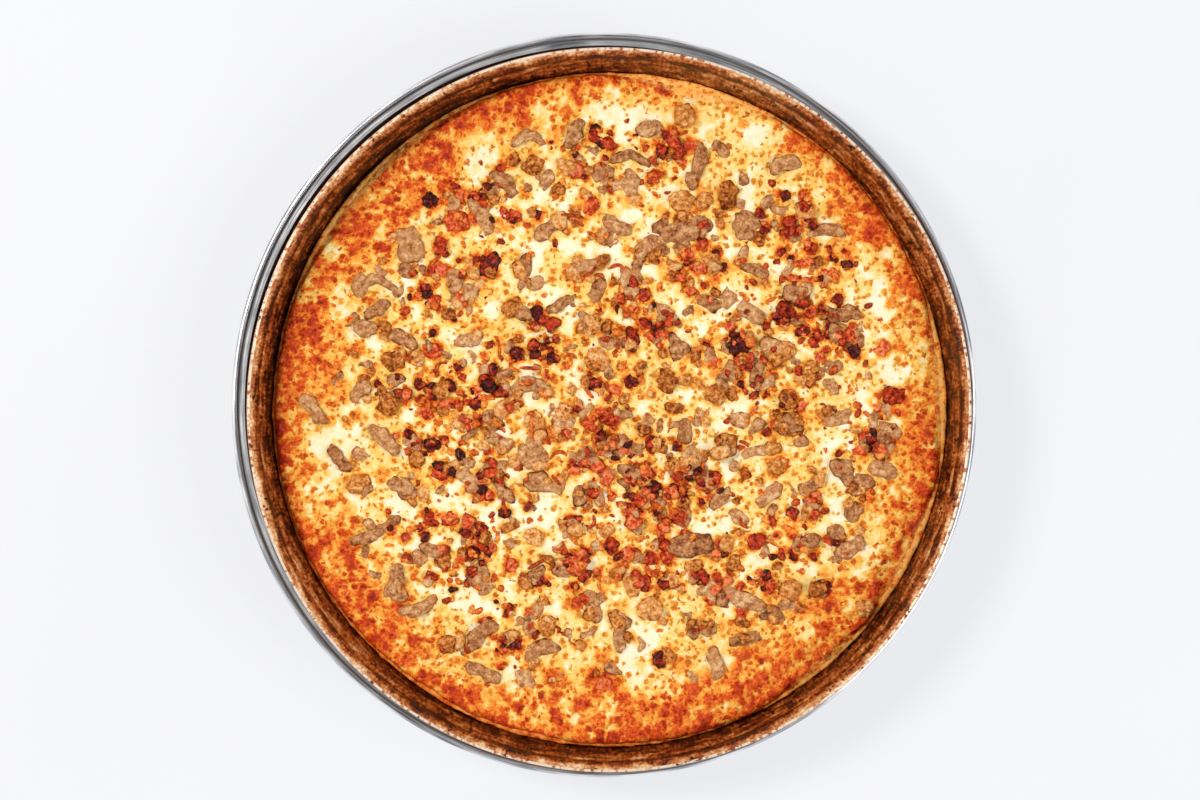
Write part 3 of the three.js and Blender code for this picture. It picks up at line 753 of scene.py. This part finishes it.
def blisters(x, y, cell, seed, sizes, share):
    """Ragged round blisters, at most one in each square cell, whose middle, radius and heat are drawn
    from the cell's number. Gives how far inside one a point lies (1 at its middle) and its heat."""
    inside, heat = np.zeros(x.shape), np.zeros(x.shape)
    ragged = 1 + 0.7 * (flat_noise(x, y, 1.8, seed + 50) - 0.5)
    for i in (-1, 0, 1):
        for j in (-1, 0, 1):
            column, row = np.floor(x / cell) + i, np.floor(y / cell) + j
            number = column * 57.3 + row * 131.7 + seed
            middle_x = (column + chance(number, 1)) * cell
            middle_y = (row + chance(number, 2)) * cell
            radius = sizes[0] + (sizes[1] - sizes[0]) * chance(number, 3)
            depth = 1 - np.hypot(x - middle_x, y - middle_y) * ragged / radius
            better = (chance(number, 4) < share(middle_x, middle_y)) & (depth > inside)
            inside = np.where(better, depth, inside)
            heat = np.where(better, chance(number, 5), heat)
    return inside, heat


def warmth(x, y):
    """How yellow the cheese is, from 0 to 1: noise of 10 mm and of 4 mm."""
    return smoothstep(0.6 * flat_noise(x, y, 10, 21) + 0.4 * flat_noise(x, y, 4, 22), 0.28, 0.55)


# Stretches of the rim that toasted less, or more: heading, half width in degrees, and how many mm
# nearer the edge the toasted band ends there.
PALER_RIMS = ((66, 24, 22), (10, 30, 9), (-165, 20, 4), (150, 30, -14), (-50, 40, -9), (-110, 30, -6))


def rimness(x, y):
    """How far a place belongs to the toasted rim: 1 up to 5 mm in from the edge and 0 from 36 mm in,
    which noise of 22 mm and 8 mm and the stretches above move in or out."""
    angle, inset = edge_place(x, y)
    inset += 26 * (flat_noise(x, y, 22, 23) - 0.5) + 12 * (flat_noise(x, y, 8, 24) - 0.5)
    for heading, half_width, more in PALER_RIMS:
        inset += more * bell_at(angle, heading, half_width)
    return 1 - smoothstep(inset, 5, 36)


def cheese_surface(x, y, inset):
    """Height of the cheese over its plain form, and the numbers its colours need. It has soft
    swells, broad blisters that rise and brown, and a creased rim, and is drawn up round the meat."""
    rim, warm = rimness(x, y), warmth(x, y)
    near, _ = lie_field(x, y, large_meat)
    clear = smoothstep(near, 0.2, 2.2)
    broad, glow = blisters(
        x, y, 10, 90, (2.4, 5.2), lambda u, v: 0.08 + 0.15 * warmth(u, v) + 0.8 * rimness(u, v)
    )
    bubble, fire = blisters(x, y, 4.6, 300, (1.4, 3.0), lambda u, v: 0.95 * rimness(u, v))
    swells = 0.7 * (flat_noise(x, y, 7, 31) - 0.5) + 0.3 * (flat_noise(x, y, 2.6, 32) - 0.5)
    radius, angle = np.hypot(x, y), np.arctan2(y, x)
    drawn = stacked(radius / 2.4, np.cos(angle) * 17, np.sin(angle) * 17)
    creases = np.abs(value_noise(drawn, 1, 33) - 0.5)
    height = swells + clear * (0.9 * np.sqrt(broad) + 0.8 * np.sqrt(bubble) - 0.9 * rim * creases)
    height += 0.7 * np.exp(-np.maximum(near, 0) / 1.1) - 0.9 * smoothstep(-near, 0, 1.5)
    mottle = 0.6 * flat_noise(x, y, 9, 34) + 0.4 * flat_noise(x, y, 3, 35)
    scorch = smoothstep(8 - inset + 10 * (flat_noise(x, y, 12, 36) - 0.5), 0, 9)
    layers = [
        0.03 + 0.14 * warm, clear * (0.12 + 0.5 * glow) * smoothstep(broad, 0, 0.3) * (0.4 + 0.6 * rim),
        clear * (0.1 + 0.4 * fire) * smoothstep(bubble, 0, 0.45) * rim,
        rim * (0.26 + 0.26 * smoothstep(mottle, 0.3, 0.75)), 0.26 * scorch * rim
    ]
    toast = 1 - np.prod([1 - layer for layer in layers], axis=0)
    return height, {"toast": toast, "rim": rim, "warm": warm, "clear": clear}


def cheese_mesh():
    """The top over the wrapped disc, whose rounded edge comes down to the crust, and an underside
    that follows the crust in rings. It thins out over twice the reach of the lip's pale stretches.
    Gives points, triangles and the numbers of each point."""
    angle, share, triangles, outer = wrapped_disc(CHEESE_CELLS)
    edge, frays = crust_edge(angle), stacked(np.cos(angle), np.sin(angle), 0)
    bare = bare_lip(angle) - FRINGE + 1.1 * (value_noise(frays, 0.03, 37) - 0.5)
    radius = share * (edge - bare)
    x, y = radius * np.cos(angle), radius * np.sin(angle)
    inset = edge - radius
    relief, numbers = cheese_surface(x, y, inset)
    under = crust_top(angle, inset) + 0.05
    numbers["pale"] = pale_lip(angle, inset)
    bite = np.clip((inset - bare) / BITE, 0, 1)
    taper = smoothstep(inset - bare, 1, 8)
    round_edge = np.sqrt(1 - (1 - bite) ** 2)
    thin_edge = round_edge * (1 - smoothstep(pale_lip(angle, inset / 2), 0, 0.6) * (1 - taper))
    thick = np.maximum(cheese_top(x, y) + relief - under, 0.5)
    fatty = np.concatenate([bacon_lies, small_bacon, bacon_crumbs])
    greasy = np.concatenate([sausage_lies, small_sausage, sausage_crumbs])
    from_bacon, _ = lie_field(x, y, fatty)
    from_sausage, _ = lie_field(x, y, greasy)
    from_bacon, from_sausage = np.maximum(from_bacon, 0) / 1.5, np.maximum(from_sausage, 0) / 1.2
    numbers["stain"] = np.maximum(np.exp(-(from_bacon**2)), 0.6 * np.exp(-(from_sausage**2)))
    heights = under + thick * thin_edge - TUCK * (1 - bite) ** 2
    rings, links = [stacked(x, y, heights)], [triangles]
    last, total = outer, len(x)
    for step in (0.06, 0.16, 0.35, 0.6, 1):
        turn = angle[outer]
        inward = bare[outer] + step * (LIP_FOOT - bare[outer])
        reach = edge[outer] - inward
        heights = crust_top(turn, inward) + TOUCH_GAP * step - TUCK * (1 - step)
        rings.append(stacked(reach * np.cos(turn), reach * np.sin(turn), heights))
        this = total + np.arange(len(outer))
        a, b = last, np.roll(last, -1)
        c, d = np.roll(this, -1), this
        links.append(stacked(b, a, d, b, d, c).reshape(-1, 3))
        last, total = this, total + len(outer)
    rings.append(np.array([[0, 0, DOUGH_LEVEL + TOUCH_GAP]]))
    links.append(stacked(np.roll(last, -1), last, total))
    points = np.concatenate(rings)
    spare = np.zeros(len(points) - len(x))
    numbers = {key: np.concatenate([value, spare]) for key, value in numbers.items()}
    return points, np.concatenate(links), numbers


# Toasted mozzarella: cream through yellow and orange to dark red as it browns, with a skin of oil
# that is glossiest where it is brownest. Between the broad blisters lie small ragged ones with soft
# edges in two sizes, and at the rim the skin dries into a lace of ridges about 4 mm apart.
mozzarella, add, coords = add_material("toasted_mozzarella")
toast, rim, warm, clear, stain, paleness = (
    add("Attribute", attribute_name=name).outputs["Fac"]
    for name in ("toast", "rim", "warm", "clear", "stain", "pale")
)
wobble = add("TexNoise", {"Vector": coords, "Scale": 480, "Detail": 3}).outputs["Color"]
ragged = add("VectorMath", (wobble, (0.0034, 0.0034, 0), coords), operation="MULTIPLY_ADD")
# Each row: cell in mm, least and greatest radius in cells, share of the cells in white and in yellow
# cheese that have a blister, least and greatest heat in the middle.
BLISTER_SIZES = ((3, 0.25, 0.6, 0.14, 0.62, 0.12, 0.38), (5.6, 0.2, 0.48, 0.12, 0.5, 0.16, 0.48))
grown = add("MapRange", (rim, 0, 1, 1, 1.6))
olive = 0
for cell, small_radius, great_radius, in_white, in_yellow, least, most in BLISTER_SIZES:
    bubbles = add("TexVoronoi", {"Vector": ragged, "Scale": 1 / (cell * MM)}, voronoi_dimensions="2D")
    lots = add("SeparateColor", {"Color": bubbles.outputs["Color"]}).outputs
    span = add("MapRange", (lots["Red"], 0, 1, small_radius, great_radius))
    heat = add("MapRange", (lots["Green"], 0, 1, least, most))
    share = add("MapRange", (warm, 0, 1, in_white, in_yellow))
    share = add("Math", (share, grown), operation="MULTIPLY")
    there = add("Math", (lots["Blue"], share), operation="LESS_THAN")
    depth = add("Math", (bubbles.outputs["Distance"], span), operation="DIVIDE")
    inside = add("MapRange", (depth, 1, 0.4), interpolation_type="SMOOTHSTEP")
    inside = add("Math", (inside, there), operation="MULTIPLY")
    inside = add("Math", (inside, clear), operation="MULTIPLY")
    heated = add("Math", (grown, heat), operation="MULTIPLY")
    heated = add("Math", (heated, inside), operation="MULTIPLY")
    left = add("Math", (1, toast), operation="SUBTRACT")
    toast = add("Math", (heated, left, toast), operation="MULTIPLY_ADD")
    centre = add("Math", (add("MapRange", (depth, 0.65, 0.3)), inside), operation="MULTIPLY")
    olive = add("Math", (centre, olive), operation="MAXIMUM")
grain = add("TexNoise", {"Vector": coords, "Scale": 700, "Detail": 5, "Roughness": 0.65})
patch = add("TexNoise", {"Vector": coords, "Scale": 260, "Detail": 4, "Roughness": 0.6})
lace = add("TexNoise", {"Vector": ragged, "Scale": 230, "Detail": 3}, noise_type="RIDGED_MULTIFRACTAL")
shift = add("Math", (grain, 0.8, -0.7), operation="MULTIPLY_ADD")
shift = add("Math", (patch, 0.6, shift), operation="MULTIPLY_ADD")
shift = add("Math", (shift, add("MapRange", (toast, 0, 0.5, 0.35, 1))), operation="MULTIPLY")
blotches = add("MapRange", (patch, 0.36, 0.56, 0.02, 0.36))
stained = add("Math", (stain, blotches, toast), operation="MULTIPLY_ADD")
browned = add("Math", (stained, shift), operation="ADD")
ridges = add("MapRange", (lace, 0.35, 1.1, -0.16, 0.3))
browned = add("Math", (ridges, rim, browned), operation="MULTIPLY_ADD")
ramp = add("ValToRGB", {"Fac": browned}, stops=[
    (0, 0xFBEED4), (0.1, 0xFCE3A6), (0.2, 0xFBCB62), (0.31, 0xF6A738), (0.43, 0xF08024),
    (0.55, 0xE25610), (0.68, 0xC43606), (0.82, 0x921E05), (1, 0x540F05)
])
olive = add("Math", (olive, add("MapRange", (rim, 0, 1, 0.5, 0))), operation="MULTIPLY")
toned = add("Mix", {"Factor": olive, "A": ramp, "B": linear(0xB8861C)}, data_type="RGBA")
crumb = add("TexNoise", {"Vector": coords, "Scale": 330, "Detail": 6, "Roughness": 0.65})
gold = add("ValToRGB", {"Fac": crumb}, stops=PALE_DOUGH)
freckles = add("MapRange", (patch, 0.46, 0.58, 1, 0.3))
freckled = add("Math", (paleness, freckles), operation="MULTIPLY")
skin = add("BsdfPrincipled", {
    "Base Color": add("Mix", {"Factor": freckled, "A": toned, "B": gold}, data_type="RGBA"),
    "Roughness": add("MapRange", (browned, 0.1, 0.7, 0.4, 0.2)), "Specular IOR Level": 0.22,
    "Normal": add("Bump", {"Height": browned, "Strength": 0.8, "Distance": 0.0018})
})
add("OutputMaterial", {"Surface": skin})

cheese_points, cheese_triangles, cheese_numbers = cheese_mesh()
cheese = add_piece("melted_cheese", cheese_points + PAN_SHIFT, cheese_triangles, mozzarella, cheese_numbers)
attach(cheese, "root")
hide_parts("cheese")

# ---- Beef -----------------------------------------------------------------------------------------
# Strips of seasoned ground beef, pressed through a die and cooked before they are strewn: porous and
# grey-brown, 15 to 25 mm long and 7 mm wide, with orange cheese oil soaked into their ends.

SUNK_DEPTH = 0.9  # how far a piece reaches down into the cheese


def meat_rings(lies, rings, around, coarse, small_lump, square):
    """Knobbly bowed balls: rings from the bottom to the top of each. Coarse and small lumps are
    (size, height) of noise in mm, and square is the power that blunts their ends (1 is an ellipse).
    Also gives each point's height share and how near it is to an end."""
    x, y, length, width, heading, bow, rise, base = lies.T[:, :, None, None]
    lean = np.linspace(-np.pi / 2, np.pi / 2, rings + 2)[1:-1, None]
    turn = np.arange(around) * 2 * np.pi / around
    seed = x * 0.37 + y * 0.61
    rho, w = np.cos(lean), np.sin(lean)
    blunt = np.abs([np.cos(turn), np.sin(turn)]) ** square
    u = rho * np.sign(np.cos(turn)) * blunt[0]
    v = rho * np.sign(np.sin(turn)) * blunt[1]
    dent = 1 + 0.1 * np.sin(5 * u + 3 * v + seed) + 0.06 * np.sin(9 * v - 4 * u + 2 * seed)
    along = u * length / 2
    across = v * width / 2 * dent + bow * (u * u - BOW_CENTRE)
    up = np.where(w > 0, np.abs(w) ** 0.8 * rise * dent, w * SUNK_DEPTH)
    crest, end = np.maximum(w, 0), np.abs(u)
    local, away, offset = stacked(along, across, up), stacked(u, v, crest), stacked(x, y, 0)
    for (size, height), number in ((coarse, 61), (small_lump, 62)):
        lump = 2 * value_noise(local + offset * 3.7, size, number) - 1
        local = local + away * (height * lump)[..., None]
    across, along = local[..., 1], local[..., 0]
    spin_x = along * np.cos(heading) - across * np.sin(heading)
    spin_y = along * np.sin(heading) + across * np.cos(heading)
    return stacked(x + spin_x, y + spin_y, base + local[..., 2]), crest, end


def meat_piece(name, lies, stands_for, rings, around, material, slot, *form):
    """Joins the balls of one kind into a piece, with rings and points round for each ball. Its
    points carry the ball's tone, drawn from its place, their height share and nearness to an end."""
    points, crest, end = meat_rings(lies, rings, around, *form)
    tone = chance(lies[:, 0] * 7.1 + lies[:, 1] * 3.3, 9)[:, None, None]
    numbers = {"tone": tone, "crest": crest, "end": end}
    for key, value in numbers.items():
        body = np.broadcast_to(value, points.shape[:-1]).reshape(len(lies), -1)
        numbers[key] = np.concatenate([body, body[:, [0, -1]]], axis=1)
    corners, triangles = close_rings(points)
    piece = add_piece(name, corners + PAN_SHIFT, triangles, material, numbers)
    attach(piece, "root")
    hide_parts(*stands_for)


def meat_material(name, stops, grain_size, pit_size, pits, tone_reach, finish, oil=None):
    """Cooked meat: a ramp of its colours by noise of the grain's size in mm, shifted by the piece's
    own tone and darker at its foot, as browned edges and painted shade where it meets the cheese, with
    pits. Oil is the colour that soaks into the ends, and finish holds the shader's own numbers."""
    material, add, coords = add_material(name)
    noise = {"Vector": coords, "Scale": 1 / (grain_size * MM), "Detail": 6, "Roughness": 0.72}
    holes = add("TexVoronoi", {"Vector": coords, "Scale": 1 / (pit_size * MM)})
    pitted = add("Math", (holes, pits, add("TexNoise", noise)), operation="MULTIPLY_ADD")
    tone, crest = (add("Attribute", attribute_name=key).outputs["Fac"] for key in ("tone", "crest"))
    toned = add("Math", (tone, 2 * tone_reach, pitted), operation="MULTIPLY_ADD")
    level = pits / 2 + tone_reach
    # painted shade and browning: each piece darker towards its foot, where it meets the cheese
    foot = add("MapRange", (crest, 0, 0.5, -0.13 - level, 0.01 - level))
    toned = add("Math", (foot, toned), operation="ADD")
    colour = add("ValToRGB", {"Fac": toned}, stops=stops)
    if oil:
        end = add("Attribute", attribute_name="end").outputs["Fac"]
        soak = add("MapRange", (add("Math", (end, tone), operation="MULTIPLY"), 0.45, 1.3))
        colour = add("Mix", {"Factor": soak, "A": colour, "B": linear(oil)}, data_type="RGBA")
    bumps = add("Bump", {"Height": pitted, "Strength": 0.8, "Distance": 0.001})
    cooked = add("BsdfPrincipled", {"Base Color": colour, "Normal": bumps, **finish})
    add("OutputMaterial", {"Surface": cooked})
    return material


# Cooked ground beef: taupe with pores of about 1 mm, and orange oil at the ends of the strips.
cooked_beef = meat_material(
    "cooked_ground_beef",
    ((0.3, 0x5A2810), (0.4, 0x92542A), (0.49, 0xB67A4A), (0.58, 0xCE9660), (0.7, 0xE8C292)),
    grain_size=3, pit_size=1, pits=0.12, tone_reach=0.06,
    finish={"Roughness": 0.55, "Specular IOR Level": 0.15}, oil=0xB0591C
)
beef = (cooked_beef, "beef", (4, 1.5), (1.5, 0.6), 0.8)
meat_piece("beef_strips", beef_lies, beef_nodes, 18, 44, *beef)
meat_piece("beef_stuck", small_beef, ["cheese"], 14, 36, *beef)
meat_piece("beef_crumbs", beef_crumbs, ["cheese"], 5, 13, *beef)

# ---- Sausage --------------------------------------------------------------------------------------
# Crumbles of pork sausage, browned in the oven: rounder than the beef, tan to orange-brown, coarse
# and greasy, and about 10 to 13 mm across.

browned_sausage = meat_material(
    "browned_pork_sausage",
    ((0.3, 0x5C2404), (0.4, 0x9A4A0E), (0.49, 0xC4742A), (0.58, 0xDE964C), (0.7, 0xF0C286)),
    grain_size=2.6, pit_size=1.5, pits=0.18, tone_reach=0.09,
    finish={"Roughness": 0.4, "Specular IOR Level": 0.18}
)
sausage = (browned_sausage, "sausage", (3, 1.5), (1.4, 0.5), 0.9)
meat_piece("sausage_crumbles", sausage_lies, sausage_nodes, 20, 40, *sausage)
meat_piece("sausage_stuck", small_sausage, ["cheese"], 16, 36, *sausage)
meat_piece("sausage_crumbs", sausage_crumbs, ["cheese"], 5, 9, *sausage)

# ---- Bacon ----------------------------------------------------------------------------------------
# Diced smoked bacon, fried dark red: pink fat on some pieces, charred corners on others, and a gloss
# of fat all over. Pieces are 3 to 10 mm across.

fried_bacon = meat_material(
    "fried_smoked_bacon",
    ((0.3, 0x1C0603), (0.4, 0x5A0E04), (0.49, 0xA22606), (0.59, 0xCE4212), (0.73, 0xF08A50)),
    grain_size=2.6, pit_size=1.6, pits=0.16, tone_reach=0.17,
    finish={"Roughness": 0.3, "Specular IOR Level": 0.12, "Coat Weight": 0.15, "Coat Roughness": 0.08}
)
bacon = (fried_bacon, "bacon", (2.6, 1.5), (1.2, 0.6), 0.75)
meat_piece("bacon_pieces", bacon_lies, bacon_nodes, 18, 36, *bacon)
meat_piece("bacon_stuck", small_bacon, ["cheese"], 14, 32, *bacon)
meat_piece("bacon_crumbs", bacon_crumbs, ["cheese"], 5, 8, *bacon)

# ---- Toasted shreds -------------------------------------------------------------------------------
# Ends of grated cheese that lay on top of the meat and dried to orange-brown crumbs and thin curled
# threads, 5 to 12 mm long and about 2 mm thick.

toasted_shred = meat_material(
    "dried_cheese_shred",
    ((0.3, 0x5A1203), (0.4, 0x9A2C05), (0.49, 0xC44A0A), (0.58, 0xE07018), (0.7, 0xF2A448)),
    grain_size=2, pit_size=1.2, pits=0.1, tone_reach=0.14,
    finish={"Roughness": 0.3, "Specular IOR Level": 0.2}
)
shred = (toasted_shred, "melted_cheese", (2, 0.5), (1, 0.15), 0.85)
meat_piece("toasted_crumbs", toasted_crumbs, ["cheese"], 4, 7, *shred)

THREADS, THREAD_STEPS, THREAD_SIDES = 48, 12, 6


def thread_rings():
    """Curled threads: each path turns at a steady rate that itself grows along it, and lies on what
    is under it. Each ring stands across the path and shrinks towards the ends."""
    x, y = strewn(THREADS, 128, 0.6)
    length = 5 + 7 * draw.random((THREADS, 1))
    start = 2 * np.pi * draw.random((THREADS, 1))
    curl = 0.2 * draw.standard_normal((THREADS, 1))
    along = np.linspace(-0.5, 0.5, THREAD_STEPS)
    step = length / (THREAD_STEPS - 1)
    heading = start + curl * along * length * (1 + along)
    path_x = x[:, None] + np.cumsum(step * np.cos(heading), axis=1)
    path_y = y[:, None] + np.cumsum(step * np.sin(heading), axis=1)
    under = lie_field(path_x.ravel(), path_y.ravel(), piled)[1].reshape(path_x.shape)
    smooth = under.copy()
    for _ in range(3):
        padded = np.pad(smooth, ((0, 0), (1, 1)), mode="edge")
        smooth = np.maximum(under, (padded[:, :-2] + padded[:, 1:-1] + padded[:, 2:]) / 3)
    thick = np.sqrt(np.clip(1.25 - 4 * along * along, 0.25, 1))[:, None]
    turn = np.arange(THREAD_SIDES) * 2 * np.pi / THREAD_SIDES
    side = thick * np.cos(turn)
    edge_x = path_x[..., None] - side * np.sin(heading)[..., None]
    edge_y = path_y[..., None] + side * np.cos(heading)[..., None]
    return stacked(edge_x, edge_y, smooth[..., None] + 0.3 + thick * np.sin(turn))


thread_points, thread_triangles = close_rings(thread_rings())
per_thread = THREAD_STEPS * THREAD_SIDES + 2
thread_numbers = {
    "tone": np.repeat(0.2 + 0.6 * chance(np.arange(THREADS), 12), per_thread),
    "crest": np.ones(THREADS * per_thread)
}
shreds = add_piece(
    "toasted_threads", thread_points + PAN_SHIFT, thread_triangles, toasted_shred, thread_numbers
)
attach(shreds, "root")
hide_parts("cheese")
